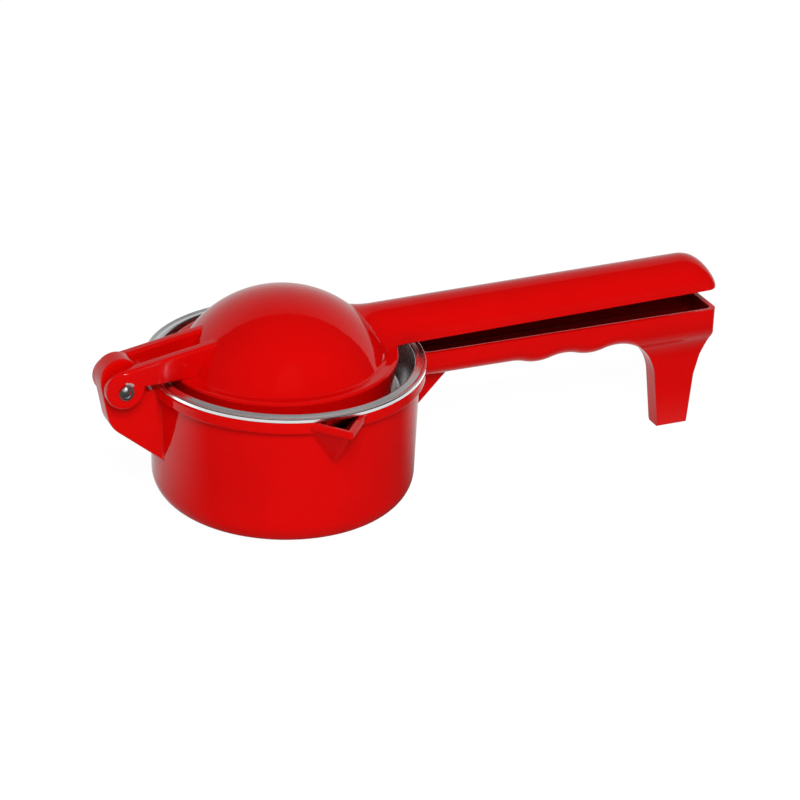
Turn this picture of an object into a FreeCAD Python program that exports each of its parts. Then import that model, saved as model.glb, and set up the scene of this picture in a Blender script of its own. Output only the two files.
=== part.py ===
import FreeCAD, Part
import math
import os
import re
import Sketcher
from FreeCAD import Vector

# Hinged lemon squeezer: a cast base (bowl, spout, hinge lug, lower handle and foot), a cast
# press lever, a loose strainer cup and a steel hinge pin.
# Frame: origin on the bowl's axis at the table, +X along the handles, +Z up, spout towards -Y.

os.makedirs("parts", exist_ok=True)
doc = FreeCAD.newDocument("lemon_squeezer")

# Driving dimensions, in millimetres and degrees
SIZES = {
    # bowl
    "bowl_radius": 50.7,
    "bowl_draft": 0.8,
    "bowl_corner": 10.5,
    "bowl_wall": 2.2,
    "bowl_floor": 3.0,
    "lip_height": 52.4,
    "lip_width": 2.2,
    "lip_depth": 4.8,
    "lip_chamfer": 0.6,
    # spout
    "spout_reach": 12.1,
    "spout_mouth": 6.2,
    "spout_half_angle": 40.7,
    "spout_bead": 1.8,
    "spout_foot_drop": 18.9,
    "spout_sill_drop": 12.4,
    # lower handle
    "handle_length": 126.4,
    "handle_width": 22.2,
    "handle_depth": 11.4,
    "handle_round": 7.0,
    "end_corner": 4.0,
    "handle_wall": 2.5,
    "trough_depth": 8.8,
    "trough_corner": 1.5,
    "trough_round": 3.5,
    "first_bump": 49.6,
    "finger_pitch": 23.0,
    "finger_depth": 1.7,
    # foot
    "arch_radius": 20.6,
    "leg_lean": 5.6,
    "leg_thickness": 7.4,
    "leg_shoulder": 4.9,
    "leg_waist": 18.4,
    "heel_radius": 25.0,
    "heel_drop": 12.4,
    "heel_turn": 24.0,
    # hinge
    "hinge_reach": 12.5,
    "hinge_rise": 2.2,
    "pin_radius": 2.95,
    "pin_overhang": 0.7,
    "pin_chamfer": 0.45,
    "lug_thickness": 8.2,
    "lug_side_clearance": 0.3,
    "lug_radius": 7.55,
    "lug_setback": 0.5,
    "lug_rise": 3.7,
    "bracket_step": 0.8,
    "bracket_depth": 8.2,
    "bracket_fall": 31.4,
    "bracket_round": 8.0,
    "gusset_thickness": 5.0,
    "gusset_length": 18.8,
    "gusset_fall": 20.1,
    "lug_bore_clearance": 0.02,
    # strainer cup
    "rim_overhang": 0.1,
    "rim_bead": 0.9,
    "rim_land": 2.0,
    "rim_shoulder": 2.3,
    "cup_clearance": 0.5,
    "cup_wall": 1.2,
    "cup_round": 2.2,
    "cup_taper": 3.2,
    "cup_depth": 10.0,
    "cup_floor_thickness": 1.6,
    "hole_diameter": 3.6,
    "floor_holes": 18,
    "lower_holes": 12,
    "upper_holes": 8,
    # press lever
    "press_offset": 1.3,
    "press_clearance": 1.0,
    "press_taper": 2.4,
    "press_wall": 3.0,
    "press_gap": 7.0,
    "foot_clearance": 0.4,
    "shoulder_height": 1.2,
    "shoulder_chamfer": 0.7,
    "dome_radius": 43.6,
    "dome_centre": 18.2,
    "hollow_waist": 7.6,
    "beam_gap": 0.8,
    "beam_half_width": 11.0,
    "beam_rise": 3.1,
    "beam_fall": 0.44,
    "beam_wall": 3.0,
    "beam_solid_end": 12.7,
    "nose_radius": 18.0,
    "nose_drop": 10.0,
    "nose_corner": 4.5,
    "ear_radius": 7.7,
    "ear_rise": 0.7,
    "arm_thickness": 4.6,
    "arm_height": 7.75,
    "arm_slope": 9.6,
    "ear_bore_clearance": 0.06,
    "rest_angle": 1.27,
}

sheet = doc.addObject("Spreadsheet::Sheet", "Sizes")
for row, (word, value) in enumerate(SIZES.items(), start=1):
    sheet.set(f"A{row}", word)
    sheet.set(f"B{row}", str(value))
    sheet.setAlias(f"B{row}", word)
doc.recompute()


def formula(text):
    """Write a size's word as its cell in the sheet."""
    return re.sub(r"[a-z_]+", lambda m: "Sizes." + m.group(0) if m.group(0) in SIZES else m.group(0), str(text))


def bind(item, prop, text):
    item.setExpression(prop, formula(text))


def size(text):
    return float(sheet.evalExpression(formula(text)))


# Sketches
def origin_plane(body, role):
    return next(feature for feature in body.Origin.OriginFeatures if feature.Role == role)


def new_body(name):
    return doc.addObject("PartDesign::Body", name)


def new_sketch(body, name, role, **offsets):
    """A sketch on one of the body's own planes, moved by x, y or z in that plane's directions."""
    sketch = body.newObject("Sketcher::SketchObject", name)
    sketch.AttachmentSupport = [(origin_plane(body, role), "")]
    sketch.MapMode = "FlatFace"
    for axis, text in offsets.items():
        bind(sketch, f"AttachmentOffset.Base.{axis}", text)
    return sketch


def arc_through(start, end, radius, turn):
    """The short arc between two points, turning left or right; returns the edge and if it runs on."""
    chord = end - start
    half = chord.Length / 2
    rise = math.sqrt(max(radius ** 2 - half ** 2, 0))
    left = Vector(-chord.y, chord.x, 0).normalize()
    side = 1 if turn == "left" else -1
    centre = start + chord * 0.5 + left * rise * side
    first, last = (start, end) if turn == "left" else (end, start)
    angles = [math.atan2(p.y - centre.y, p.x - centre.x) for p in (first, last)]
    circle = Part.Circle(centre, Vector(0, 0, 1), radius)
    return Part.ArcOfCircle(circle, angles[0], angles[1])


def outline(sketch, corners):
    """A closed outline. A corner is (x, y), or (x, y, radius, turn) where an arc starts from it."""
    points = [Vector(size(c[0]), size(c[1]), 0) for c in corners]
    ends = []
    for index, corner in enumerate(corners):
        start = points[index]
        end = points[(index + 1) % len(points)]
        if len(corner) == 4:
            edge = sketch.addGeometry(arc_through(start, end, size(corner[2]), corner[3]), False)
            ends.append((edge, 1, 2) if corner[3] == "left" else (edge, 2, 1))
            number = sketch.addConstraint(Sketcher.Constraint("Radius", edge, size(corner[2])))
            bind(sketch, f"Constraints[{number}]", corner[2])
        else:
            edge = sketch.addGeometry(Part.LineSegment(start, end), False)
            ends.append((edge, 1, 2))
    for index, corner in enumerate(corners):
        edge, first, _ = ends[index]
        previous, _, last = ends[index - 1]
        sketch.addConstraint(Sketcher.Constraint("Coincident", previous, last, edge, first))
        for kind, text, value in (("DistanceX", corner[0], points[index].x), ("DistanceY", corner[1], points[index].y)):
            if text == "0":
                axis = -2 if kind == "DistanceX" else -1
                sketch.addConstraint(Sketcher.Constraint("PointOnObject", edge, first, axis))
            else:
                number = sketch.addConstraint(Sketcher.Constraint(kind, -1, 1, edge, first, value))
                bind(sketch, f"Constraints[{number}]", text)


def ring(sketch, x, y, radius):
    """A full circle."""
    edge = sketch.addGeometry(Part.Circle(Vector(size(x), size(y), 0), Vector(0, 0, 1), size(radius)), False)
    number = sketch.addConstraint(Sketcher.Constraint("Radius", edge, size(radius)))
    bind(sketch, f"Constraints[{number}]", radius)
    for kind, text in (("DistanceX", x), ("DistanceY", y)):
        if text == "0":
            axis = -2 if kind == "DistanceX" else -1
            sketch.addConstraint(Sketcher.Constraint("PointOnObject", edge, 3, axis))
        else:
            number = sketch.addConstraint(Sketcher.Constraint(kind, -1, 1, edge, 3, size(text)))
            bind(sketch, f"Constraints[{number}]", text)


# Features
def revolve(body, sketch, name, kind="Revolution", axis="V_Axis"):
    feature = body.newObject(f"PartDesign::{kind}", name)
    feature.Profile = sketch
    feature.ReferenceAxis = (sketch, [axis])
    feature.Angle = 360
    return feature


def pad(body, sketch, name, length, both_ways=True):
    feature = body.newObject("PartDesign::Pad", name)
    feature.Profile = sketch
    feature.SideType = "Symmetric" if both_ways else "One side"
    bind(feature, "Length", length)
    return feature


def pocket(body, sketch, name, length, both_ways=True, backwards=False):
    feature = body.newObject("PartDesign::Pocket", name)
    feature.Profile = sketch
    feature.SideType = "Symmetric" if both_ways else "One side"
    feature.Reversed = backwards
    bind(feature, "Length", length)
    return feature


def loft(body, sketches, name):
    feature = body.newObject("PartDesign::AdditiveLoft", name)
    feature.Profile = sketches[0]
    feature.Sections = sketches[1:]
    feature.Ruled = True
    return feature


def round_edges(body, name, radius, test):
    """Round those edges of the body's last feature that the test picks out."""
    doc.recompute()
    last = body.Tip
    names = [f"Edge{i}" for i, edge in enumerate(last.Shape.Edges, start=1) if test(edge)]
    feature = body.newObject("PartDesign::Fillet", name)
    feature.Base = (last, names)
    bind(feature, "Radius", radius)
    return feature


def near(value, target, tolerance=0.01):
    return abs(value - target) < tolerance


def lies_at(edge, **places):
    """True where the whole edge lies at the given x, y or z."""
    box = edge.BoundBox
    spans = {"x": (box.XMin, box.XMax), "y": (box.YMin, box.YMax), "z": (box.ZMin, box.ZMax)}
    return all(near(spans[axis][0], at, 0.02) and near(spans[axis][1], at, 0.02) for axis, at in places.items())


def join(name, shapes):
    feature = doc.addObject("Part::MultiFuse", name)
    feature.Shapes = shapes
    feature.Refine = True
    return feature


def cut(name, base, tool):
    feature = doc.addObject("Part::Cut", name)
    feature.Base = base
    feature.Tool = tool
    feature.Refine = True
    return feature


def facets(radius, centre, first, last, count, across="0"):
    """Corners along an arc about (across, centre), as short straight runs from one angle to another."""
    corners = []
    for step in range(count + 1):
        angle = f"({first} + ({last} - ({first})) * {step} / {count})"
        x = "0" if across == "0" and last == "90" and step == count else f"{across} + {radius} * cos({angle})"
        corners.append((x, f"{centre} + {radius} * sin({angle})"))
    return corners


# Sizes that follow from the driving ones
BASE_RADIUS = "(bowl_radius - bowl_draft)"
BOWL_INNER = "(bowl_radius - bowl_wall)"
BASE_INNER = "(bowl_radius - bowl_draft - bowl_wall)"
WALL_MIDDLE = "(bowl_radius - bowl_draft - bowl_wall / 2)"
INNER_CORNER = "(bowl_corner - bowl_wall)"
LIP_RADIUS = "(bowl_radius + lip_width)"
LIP_LOW = "(lip_height - lip_depth)"
END_X = f"({LIP_RADIUS} + handle_length)"
HANDLE_FLOOR = "(lip_height - handle_depth)"
HINGE_X = f"({LIP_RADIUS} + hinge_reach)"
HINGE_Z = "(lip_height + hinge_rise)"
PIN_HALF_LENGTH = "(lug_thickness / 2 + lug_side_clearance + arm_thickness + pin_overhang)"


# Base casting: bowl with its rolled lip
def bowl_solid():
    body = new_body("bowl_solid")
    sketch = new_sketch(body, "bowl_profile", "XZ_Plane")
    outline(sketch, [
        ("0", "0"),
        (f"{BASE_RADIUS} - bowl_corner", "0", "bowl_corner", "left"),
        (BASE_RADIUS, "bowl_corner"),
        ("bowl_radius", f"{LIP_LOW} - lip_width / 2"),
        (LIP_RADIUS, f"{LIP_LOW} + lip_width / 2"),
        (LIP_RADIUS, "lip_height - lip_chamfer"),
        (f"{LIP_RADIUS} - lip_chamfer", "lip_height"),
        ("0", "lip_height"),
    ])
    revolve(body, sketch, "bowl_turn")
    return body


def bowl_hollow():
    body = new_body("bowl_hollow")
    sketch = new_sketch(body, "hollow_profile", "XZ_Plane")
    corner = facets(INNER_CORNER, f"bowl_floor + {INNER_CORNER}", "-90", "0", 3, f"{BASE_INNER} - {INNER_CORNER}")
    outline(sketch, [("0", "bowl_floor")] + corner + [
        (BOWL_INNER, "lip_height + 1"),
        ("0", "lip_height + 1"),
    ])
    revolve(body, sketch, "hollow_turn")
    return body


# Spout: a V-shaped beak that runs down the wall to a point, with the lip's bead round its top
def vee(body, name, tip, height):
    """A V in plan that points towards the front, its tip at the given reach."""
    sketch = new_sketch(body, name, "XY_Plane", z=height)
    back = f"({BOWL_INNER} - bowl_wall)"
    half = f"(({tip} - {back}) * tan(spout_half_angle))"
    outline(sketch, [("0", f"-{tip}"), (half, f"-{back}"), (f"-{half}", f"-{back}")])
    return sketch


def spout_beak():
    body = new_body("spout_beak")
    lip_tip = f"({LIP_RADIUS} + spout_reach)"
    keel_tip = f"({lip_tip} - spout_bead / sin(spout_half_angle))"
    foot = vee(body, "beak_foot", f"({BASE_RADIUS} + bowl_draft / 2)", "lip_height - spout_foot_drop")
    top = vee(body, "beak_top", keel_tip, LIP_LOW)
    loft(body, [foot, top], "beak")
    pad(body, vee(body, "beak_lip", lip_tip, LIP_LOW), "beak_bead", "lip_depth", both_ways=False)
    tip = size(lip_tip)
    round_edges(body, "beak_tip", "spout_bead / 2",
                lambda edge: lies_at(edge, x=0, y=-tip) and edge.Length > size("lip_depth") / 2)
    return body


def spout_channel():
    body = new_body("spout_channel")
    mouth_tip = f"({LIP_RADIUS} + spout_mouth)"
    sill = vee(body, "channel_sill", BOWL_INNER, "lip_height - spout_sill_drop")
    mouth = vee(body, "channel_mouth", mouth_tip, "lip_height")
    loft(body, [sill, mouth], "channel")
    pad(body, vee(body, "channel_top", mouth_tip, "lip_height"), "channel_open", "1", both_ways=False)
    return body


# Hinge bracket with its lug, and the gusset under the handle
def hinge_bracket():
    body = new_body("hinge_bracket")
    sketch = new_sketch(body, "bracket_profile", "XZ_Plane")
    lug_x = f"(-{HINGE_X} - lug_setback)"
    lug_z = f"({HINGE_Z} + lug_rise)"
    top = "(lip_height - bracket_step)"
    drop = "(lip_height - bracket_depth)"
    outline(sketch, [
        (f"-{WALL_MIDDLE}", "lip_height - bracket_fall"),
        (f"-{WALL_MIDDLE}", top),
        (f"{lug_x} + lug_radius", top),
        (f"{lug_x} + lug_radius", lug_z, "lug_radius", "left"),
        (lug_x, f"{lug_z} + lug_radius", "lug_radius", "left"),
        (f"{lug_x} - lug_radius", lug_z),
        (f"{lug_x} - lug_radius", drop),
    ])
    pad(body, sketch, "bracket", "lug_thickness")
    corner_x = size(f"{lug_x} - lug_radius")
    corner_z = size(drop)
    round_edges(body, "bracket_corner", "bracket_round", lambda edge: lies_at(edge, x=corner_x, z=corner_z))
    return body


def gusset():
    body = new_body("gusset")
    sketch = new_sketch(body, "gusset_profile", "XZ_Plane")
    top = f"({HANDLE_FLOOR} + 1)"
    outline(sketch, [
        (WALL_MIDDLE, f"{HANDLE_FLOOR} - gusset_fall"),
        (f"{BASE_RADIUS} + gusset_length", top),
        (WALL_MIDDLE, top),
    ])
    pad(body, sketch, "gusset_web", "gusset_thickness")
    return body


# Lower handle with its finger bumps, and the leg that stands at its end
WAVE_RADIUS = "(((finger_pitch / 2)^2 + finger_depth^2) / (4 * finger_depth))"
BUMP_X = f"({LIP_RADIUS} + first_bump)"
ARCH_X = f"({BUMP_X} + 1.5 * finger_pitch)"
ARCH_Z = f"({HANDLE_FLOOR} - arch_radius)"
LEG_X = f"({ARCH_X} + arch_radius * cos(leg_lean))"
LEG_Z = f"({ARCH_Z} + arch_radius * sin(leg_lean))"
HEEL_Z = "(lip_height - heel_drop)"
TURN_X = f"({END_X} - heel_radius * (1 - cos(heel_turn)))"
TURN_Z = f"({HEEL_Z} - heel_radius * sin(heel_turn))"
CALF_X = f"({TURN_X} - heel_radius * (cos(leg_lean) - cos(heel_turn)))"
CALF_Z = f"({TURN_Z} - heel_radius * (sin(heel_turn) - sin(leg_lean)))"


def wave():
    """The underside's two finger bumps, each from groove to groove."""
    corners = []
    for bump in (BUMP_X, f"({BUMP_X} + finger_pitch)"):
        corners += [
            (f"{bump} - finger_pitch / 2", HANDLE_FLOOR, WAVE_RADIUS, "right"),
            (f"{bump} - finger_pitch / 4", f"{HANDLE_FLOOR} - finger_depth / 2", WAVE_RADIUS, "left"),
            (bump, f"{HANDLE_FLOOR} - finger_depth", WAVE_RADIUS, "left"),
            (f"{bump} + finger_pitch / 4", f"{HANDLE_FLOOR} - finger_depth / 2", WAVE_RADIUS, "right"),
        ]
    return corners


def leg_side(sketch, sign):
    """The region that is cut away beside the leg, with the soft S where the leg grows out of the handle."""
    shoulder = "(lip_height - leg_shoulder)"
    waist = "(lip_height - leg_waist)"
    drop = "((leg_waist - leg_shoulder) / 2)"
    step = "((handle_width - leg_thickness) / 4)"
    curve = f"(({drop}^2 + {step}^2) / (2 * {step}))"
    first, second = ("left", "right") if sign else ("right", "left")
    outline(sketch, [
        (f"{sign}(handle_width / 2 + 1)", "-1"),
        (f"{sign}(handle_width / 2 + 1)", shoulder),
        (f"{sign}(handle_width / 2)", shoulder, curve, first),
        (f"{sign}(leg_thickness / 2 + {step})", f"{waist} + {drop}", curve, second),
        (f"{sign}(leg_thickness / 2)", waist),
        (f"{sign}(leg_thickness / 2)", "-1"),
    ])


def handle_and_leg():
    body = new_body("handle_and_leg")
    sketch = new_sketch(body, "handle_profile", "XZ_Plane")
    root = WALL_MIDDLE
    outline(sketch, [(root, HANDLE_FLOOR)] + wave() + [
        (ARCH_X, HANDLE_FLOOR, "arch_radius", "right"),
        (LEG_X, LEG_Z),
        (f"{LEG_X} + {LEG_Z} * tan(leg_lean)", "0"),
        (f"{CALF_X} - {CALF_Z} * tan(leg_lean)", "0"),
        (CALF_X, CALF_Z, "heel_radius", "right"),
        (TURN_X, TURN_Z, "heel_radius", "left"),
        (END_X, HEEL_Z),
        (END_X, "lip_height"),
        (root, "lip_height"),
    ])
    pad(body, sketch, "handle_slab", "handle_width")

    side = size("handle_width / 2")
    heel_start = size(f"{CALF_X} - {CALF_Z} * tan(leg_lean)") - 0.1
    leg_end = size(f"{LEG_X} + {LEG_Z} * tan(leg_lean)") + 0.1
    top = size("lip_height")

    def on_side(edge):
        return near(abs(edge.BoundBox.YMin), side) and near(edge.BoundBox.YMin, edge.BoundBox.YMax)

    def underside(edge):
        box = edge.BoundBox
        return on_side(edge) and box.XMax < leg_end and 1 < box.ZMax < top - 1

    def heel(edge):
        return on_side(edge) and edge.BoundBox.XMin > heel_start and not near(edge.BoundBox.ZMin, top)

    round_edges(body, "handle_underside", "handle_round", underside)
    round_edges(body, "handle_end", "end_corner", heel)
    sides = new_sketch(body, "leg_sides_profile", "YZ_Plane", z=ARCH_X)
    leg_side(sides, "")
    leg_side(sides, "-")
    pocket(body, sides, "leg_sides", END_X, both_ways=False, backwards=True)
    return body


def handle_trough():
    body = new_body("handle_trough")
    sketch = new_sketch(body, "trough_plan", "XY_Plane", z="lip_height - trough_depth")
    half = "(handle_width / 2 - handle_wall)"
    outline(sketch, [
        (LIP_RADIUS, f"-{half}"),
        (f"{END_X} - handle_wall", f"-{half}"),
        (f"{END_X} - handle_wall", half),
        (LIP_RADIUS, half),
    ])
    pad(body, sketch, "trough", "trough_depth + 1", both_ways=False)
    floor = size("lip_height - trough_depth")
    round_edges(body, "trough_corners", "trough_corner",
                lambda edge: near(edge.BoundBox.ZMax - edge.BoundBox.ZMin, edge.Length))
    round_edges(body, "trough_floor", "trough_round",
                lambda edge: lies_at(edge, z=floor) and edge.BoundBox.XMax - edge.BoundBox.XMin > size("handle_width"))
    return body


def lug_bore():
    body = new_body("lug_bore")
    sketch = new_sketch(body, "lug_bore_ring", "XZ_Plane")
    ring(sketch, f"-{HINGE_X}", HINGE_Z, "pin_radius + lug_bore_clearance")
    pad(body, sketch, "lug_bore_bar", "lug_thickness + 2")
    return body


def base_casting():
    solid = join("base_solid", [bowl_solid(), spout_beak(), hinge_bracket(), gusset(), handle_and_leg()])
    tools = join("base_openings", [bowl_hollow(), spout_channel(), handle_trough(), lug_bore()])
    return cut("base_casting", solid, tools)


# Strainer cup: rolled rim, steep wall and a raised dome with drain holes
CUP_RADIUS = f"({BOWL_INNER} - cup_clearance - cup_wall)"
CUP_BASE = f"({CUP_RADIUS} - cup_taper)"
CUP_FLOOR = "(lip_height - cup_depth)"
FLOOR_UNDER = f"({CUP_FLOOR} - cup_floor_thickness)"
HOLLOW_RADIUS = "(dome_radius - press_wall)"
CONE_RADIUS = f"({HOLLOW_RADIUS} - press_gap)"
CONE_INNER = f"({CONE_RADIUS} - cup_wall)"
CONE_CENTRE = f"({HINGE_Z} - dome_centre)"
CONE_BANDS = 4


def hole_ring(body, name, circle, count, top, depth):
    """A circle of drain holes straight down, eight-sided to keep what repeats light."""
    sketch = new_sketch(body, name + "_place", "XY_Plane", z=top)
    outline(sketch, facets("(hole_diameter / 2)", "0", "22.5", "337.5", 7, circle))
    hole = pocket(body, sketch, name + "_hole", depth, both_ways=False)
    pattern = body.newObject("PartDesign::PolarPattern", name + "_ring")
    pattern.Originals = [hole]
    pattern.Axis = (origin_plane(body, "Z_Axis"), [""])
    pattern.Angle = 360
    bind(pattern, "Occurrences", count)
    body.Tip = pattern


def strainer():
    body = new_body("strainer")
    sketch = new_sketch(body, "strainer_profile", "XZ_Plane")
    rim = f"({LIP_RADIUS} + rim_overhang)"
    mouth = f"({CUP_RADIUS} + cup_round)"
    outer_foot = f"(asin(({CUP_FLOOR} - {CONE_CENTRE}) / {CONE_RADIUS}) / 1 deg)"
    inner_foot = f"(asin(({FLOOR_UNDER} - {CONE_CENTRE}) / {CONE_INNER}) / 1 deg)"
    inside = facets(CONE_INNER, CONE_CENTRE, inner_foot, "90", CONE_BANDS)
    outside = facets(CONE_RADIUS, CONE_CENTRE, outer_foot, "90", CONE_BANDS)
    outline(sketch, inside[::-1] + [
        (CUP_BASE, FLOOR_UNDER),
        (f"{CUP_BASE} + cup_wall", CUP_FLOOR),
        (f"{CUP_RADIUS} + cup_wall", "lip_height"),
        (f"{rim} - rim_bead / 2", "lip_height"),
        (rim, "lip_height + rim_bead / 2"),
        (rim, "lip_height + rim_bead * 1.5"),
        (f"{rim} - rim_bead / 2", "lip_height + rim_bead * 2"),
        (f"{mouth} + rim_land", "lip_height + rim_bead * 2"),
        (f"{mouth} + rim_land * 0.8", "lip_height + rim_shoulder"),
        (mouth, "lip_height + rim_shoulder"),
        (CUP_RADIUS, "lip_height + rim_shoulder - cup_round"),
        (CUP_BASE, CUP_FLOOR),
    ] + outside)
    revolve(body, sketch, "strainer_turn")
    band = f"((90 - {outer_foot}) / {CONE_BANDS})"
    floor_circle = f"(({CUP_BASE} + {CONE_RADIUS} * cos({outer_foot})) / 2)"
    lower_circle = f"({CONE_RADIUS} * cos({outer_foot} + 1.5 * {band}))"
    upper_circle = f"({CONE_RADIUS} * cos({outer_foot} + 2.5 * {band}))"
    above = f"({CONE_CENTRE} + {CONE_RADIUS})"
    hole_ring(body, "floor_drain", floor_circle, "floor_holes", f"{CUP_FLOOR} + 1", "cup_floor_thickness + 2")
    hole_ring(body, "lower_drain", lower_circle, "lower_holes", above, CONE_RADIUS)
    hole_ring(body, "upper_drain", upper_circle, "upper_holes", above, CONE_RADIUS)
    return body


# Hinge pin with chamfered ends
def hinge_pin():
    body = new_body("hinge_pin")
    sketch = new_sketch(body, "pin_profile", "XY_Plane", x=f"-{HINGE_X}", z=HINGE_Z)
    outline(sketch, [
        ("0", f"-{PIN_HALF_LENGTH}"),
        ("pin_radius - pin_chamfer", f"-{PIN_HALF_LENGTH}"),
        ("pin_radius", f"pin_chamfer - {PIN_HALF_LENGTH}"),
        ("pin_radius", f"{PIN_HALF_LENGTH} - pin_chamfer"),
        ("pin_radius - pin_chamfer", PIN_HALF_LENGTH),
        ("0", PIN_HALF_LENGTH),
    ])
    revolve(body, sketch, "pin_turn")
    return body


# Press lever, measured from the hinge pin: half-round handle, domed press with a skirt, two-armed fork
PRESS_X = f"({HINGE_X} - press_offset)"
PRESS_FOOT_RADIUS = f"({CUP_BASE} - press_offset - press_clearance)"
PRESS_RADIUS = f"({PRESS_FOOT_RADIUS} + press_taper)"
FOOT_LIFT = f"(({PRESS_X} - {PRESS_FOOT_RADIUS}) * sin(rest_angle))"
PRESS_FOOT = f"({HINGE_Z} - {CUP_FLOOR} + {FOOT_LIFT} - foot_clearance)"
SHOULDER_INNER = "sqrt(dome_radius^2 - (dome_centre + shoulder_height)^2)"
ARM_INNER = "(lug_thickness / 2 + lug_side_clearance)"
BEAM_LENGTH = f"({HINGE_X} + {END_X})"
BEAM_ROOT = f"({PRESS_X} + {HOLLOW_RADIUS} * 0.6)"
BEAM_TOP = f"(beam_rise + beam_half_width - ({BEAM_LENGTH} - {BEAM_ROOT}) * tan(beam_fall))"
CHANNEL_START = f"({PRESS_X} + {PRESS_RADIUS} + 2)"


def half_round(body, name, place, half_width, rise, bottom):
    """A half-round section on two straight sides, square to the handle's falling top."""
    sketch = new_sketch(body, name, "YZ_Plane")
    outline(sketch, [
        (f"-{half_width}", bottom),
        (half_width, bottom),
        (half_width, rise, half_width, "left"),
        ("0", f"{rise} + {half_width}", half_width, "left"),
        (f"-{half_width}", rise),
    ])
    sketch.AttachmentOffset = FreeCAD.Placement(Vector(), FreeCAD.Rotation(Vector(1, 0, 0), 1))
    bind(sketch, "AttachmentOffset.Rotation.Angle", "beam_fall")
    bind(sketch, "AttachmentOffset.Base.z", place)
    return sketch


def beam(body):
    bottom = "(beam_gap - beam_half_width)"
    section = half_round(body, "beam_section", BEAM_ROOT, "beam_half_width", "beam_rise", bottom)
    pad(body, section, "beam", f"{BEAM_LENGTH} - {BEAM_ROOT}", both_ways=False)
    end = size(f"{BEAM_LENGTH}")
    round_edges(body, "beam_corner", "nose_corner",
                lambda edge: edge.BoundBox.XMin > end - 1 and edge.BoundBox.ZMax > size("beam_gap"))
    nose = new_sketch(body, "nose_profile", "XZ_Plane")
    start = f"({BEAM_LENGTH} - sqrt(nose_radius^2 - (nose_radius - nose_drop)^2))"
    outline(nose, [
        (start, BEAM_TOP, "nose_radius", "right"),
        (BEAM_LENGTH, f"{BEAM_TOP} - nose_drop"),
        (f"{BEAM_LENGTH} + 5", f"{BEAM_TOP} - nose_drop"),
        (f"{BEAM_LENGTH} + 5", f"{BEAM_TOP} + 2"),
        (start, f"{BEAM_TOP} + 2"),
    ])
    pocket(body, nose, "nose", "beam_half_width * 2 + 2")
    under = new_sketch(body, "beam_under", "XZ_Plane")
    low = "(beam_gap - beam_half_width * 2)"
    outline(under, [
        (f"{BEAM_ROOT} - 2", low),
        (f"{BEAM_LENGTH} + 5", low),
        (f"{BEAM_LENGTH} + 5", "beam_gap"),
        (f"{BEAM_ROOT} - 2", "beam_gap"),
    ])
    pocket(body, under, "beam_flat", "beam_half_width * 2 + 2")


def press(body):
    sketch = new_sketch(body, "press_profile", "XZ_Plane", x=PRESS_X)
    outline(sketch, [
        ("0", f"-{PRESS_FOOT}"),
        (PRESS_FOOT_RADIUS, f"-{PRESS_FOOT}"),
        (PRESS_RADIUS, "shoulder_height - shoulder_chamfer"),
        (f"{PRESS_RADIUS} - shoulder_chamfer", "shoulder_height"),
        (SHOULDER_INNER, "shoulder_height", "dome_radius", "left"),
        ("0", "dome_radius - dome_centre"),
    ])
    revolve(body, sketch, "press_turn")


def fork(body):
    arm = new_sketch(body, "arm_profile", "XZ_Plane", z=ARM_INNER)
    inside_dome = f"({PRESS_X} - {HOLLOW_RADIUS} / 2)"
    outline(arm, [
        ("0", "beam_gap"),
        (inside_dome, "beam_gap"),
        (inside_dome, f"arm_height + {inside_dome} * tan(arm_slope)"),
        ("0", "arm_height"),
    ])
    blank = pad(body, arm, "arm", "arm_thickness", both_ways=False)
    ear = new_sketch(body, "ear_profile", "XZ_Plane", z=ARM_INNER)
    ring(ear, "0", "ear_rise", "ear_radius")
    disc = pad(body, ear, "ear", "arm_thickness", both_ways=False)
    twin = body.newObject("PartDesign::Mirrored", "fork")
    twin.Originals = [blank, disc]
    twin.MirrorPlane = (origin_plane(body, "XZ_Plane"), [""])
    body.Tip = twin


def press_hollow(body):
    sketch = new_sketch(body, "hollow_profile_lever", "XZ_Plane", x=PRESS_X)
    waist = f"(asin((dome_centre - hollow_waist) / {HOLLOW_RADIUS}) / 1 deg)"
    mouth = f"({PRESS_FOOT_RADIUS} - press_wall)"
    outline(sketch, [
        ("0", f"-{PRESS_FOOT} - 1"),
        (mouth, f"-{PRESS_FOOT} - 1"),
        (mouth, f"-{PRESS_FOOT}"),
    ] + facets(HOLLOW_RADIUS, "-dome_centre", waist, "90", 4))
    revolve(body, sketch, "press_hollow", kind="Groove")


def press_lever():
    body = new_body("press_lever")
    beam(body)
    press(body)
    fork(body)
    press_hollow(body)
    channel = half_round(body, "channel_section", CHANNEL_START, "(beam_half_width - beam_wall)", "beam_rise",
                         "beam_gap - beam_wall")
    pocket(body, channel, "beam_channel", f"{BEAM_LENGTH} - beam_solid_end - {CHANNEL_START}",
           both_ways=False, backwards=True)
    bore = new_sketch(body, "ear_bore", "XZ_Plane")
    ring(bore, "0", "0", "pin_radius + ear_bore_clearance")
    pocket(body, bore, "ear_bores", f"({ARM_INNER} + arm_thickness + 1) * 2")
    bind(body, "Placement.Base.x", f"-{HINGE_X}")
    bind(body, "Placement.Base.z", HINGE_Z)
    body.Placement.Rotation = FreeCAD.Rotation(Vector(0, -1, 0), 1)
    bind(body, "Placement.Rotation.Angle", "rest_angle")
    return body


pieces = [base_casting(), strainer(), hinge_pin(), press_lever()]
doc.recompute()

for item in doc.Objects:
    if "Invalid" in item.State or "Error" in item.State:
        raise RuntimeError(f"{item.Label} did not build")
for piece in pieces:
    shape = piece.Shape
    if shape.isNull() or not shape.isValid() or len(shape.Solids) != 1:
        raise RuntimeError(f"{piece.Label} is not one sound solid")
    shape.exportStep(f"parts/{piece.Label}.step")
    print(piece.Label, round(shape.Volume), shape.BoundBox)
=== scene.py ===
import math

import bmesh
import bpy
from mathutils import Matrix, Vector


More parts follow.
